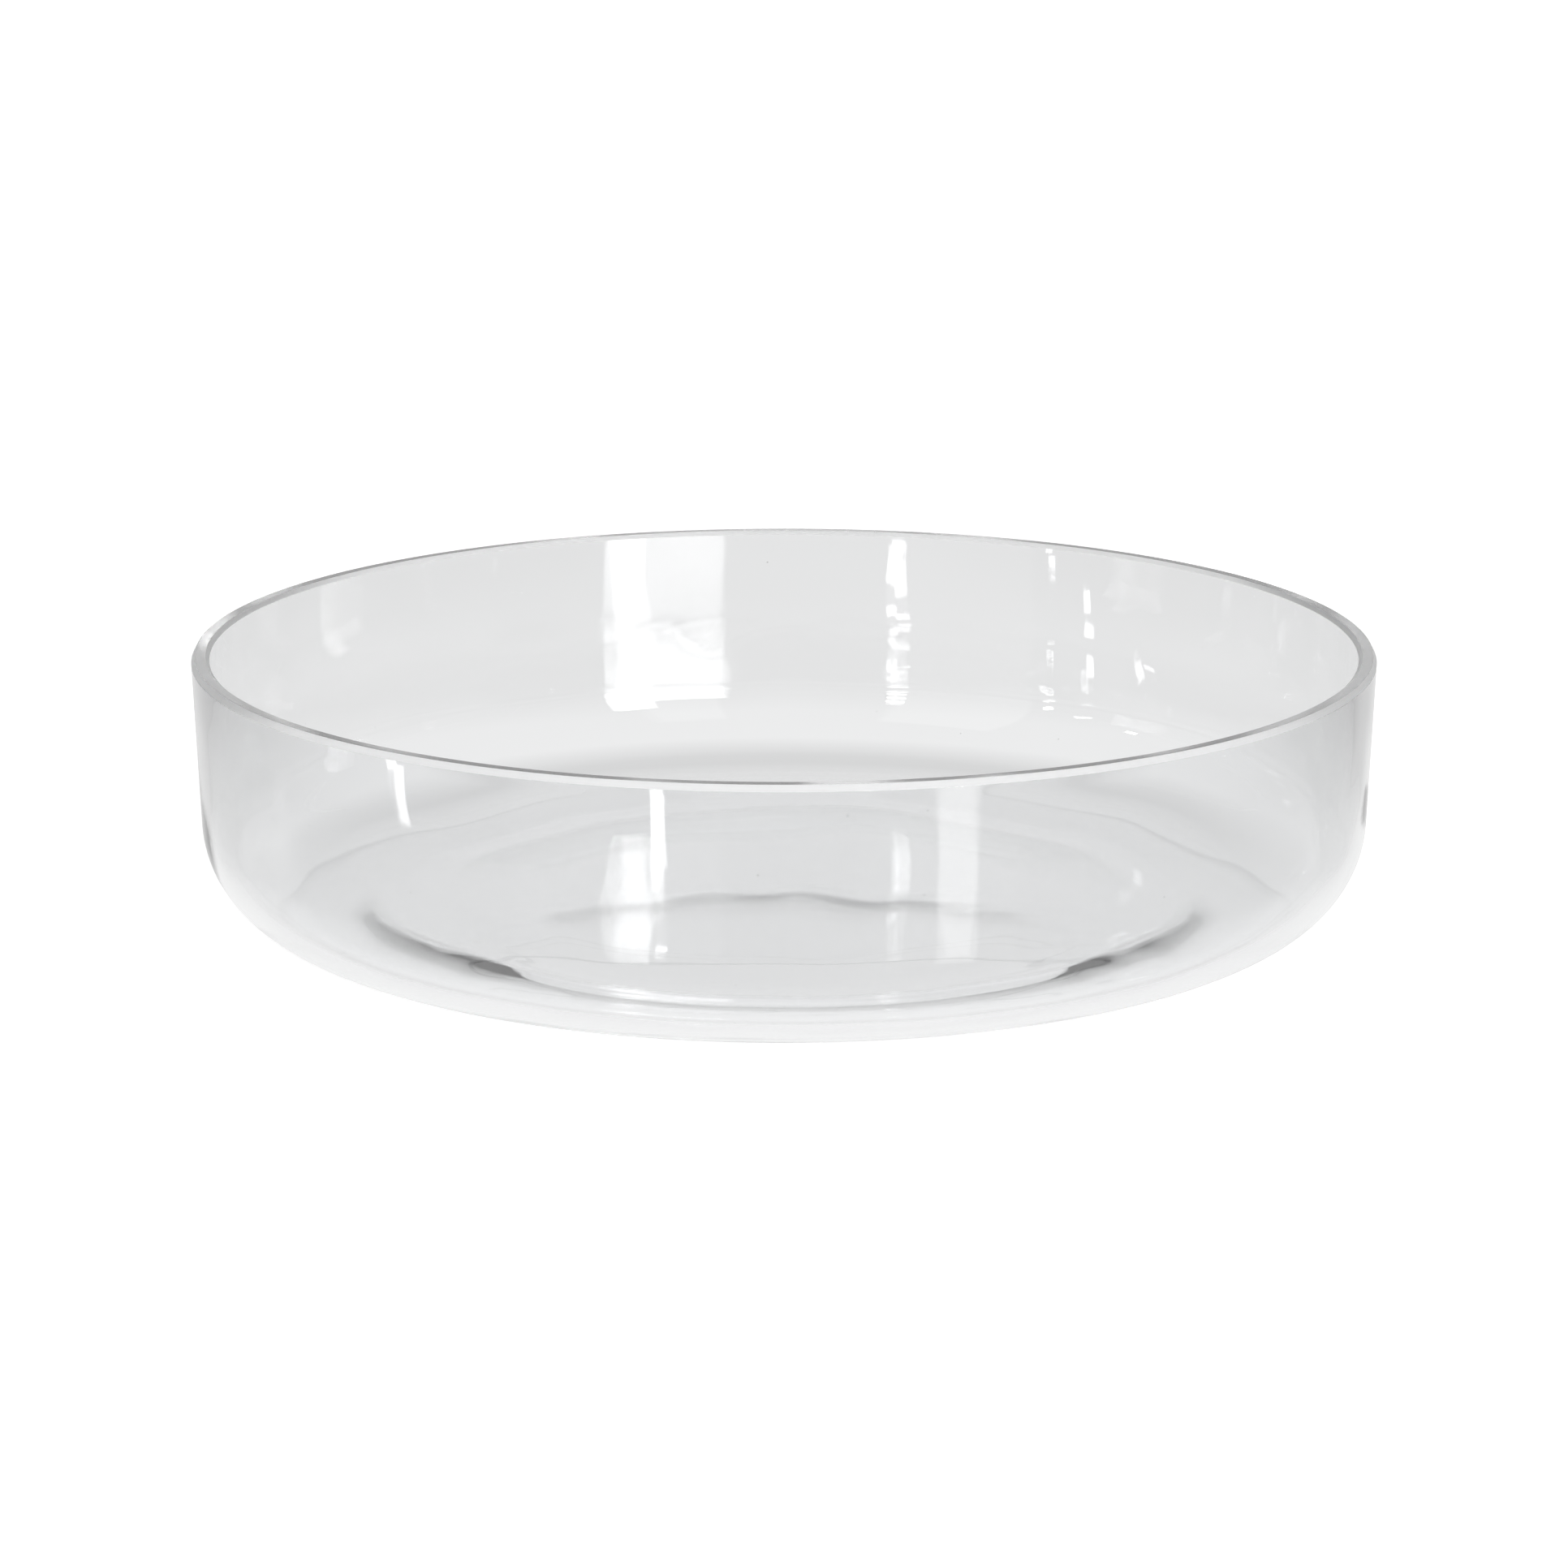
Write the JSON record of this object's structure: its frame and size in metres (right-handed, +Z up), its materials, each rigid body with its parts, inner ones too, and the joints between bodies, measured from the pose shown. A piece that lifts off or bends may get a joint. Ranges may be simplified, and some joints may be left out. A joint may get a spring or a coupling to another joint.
{
  "type": "floating candle bowl",
  "caption": "Shallow round bowl of thick clear blown glass with a ground flat rim and a rounded heel, filled with water to carry floating candles.",
  "frame": {"origin": "centre of the resting ring, on the surface that the bowl stands on", "axes": "+Z up along the bowl's axis of symmetry; X and Y lie in the resting plane and are interchangeable"},
  "size_m": [0.3, 0.3, 0.07],
  "materials": {
    "clear_glass": "clear, smooth and glossy, with a ground and polished rim"
  },
  "bodies": {
    "root": {"glass_bowl": "clear_glass"}
  },
  "joints": []
}
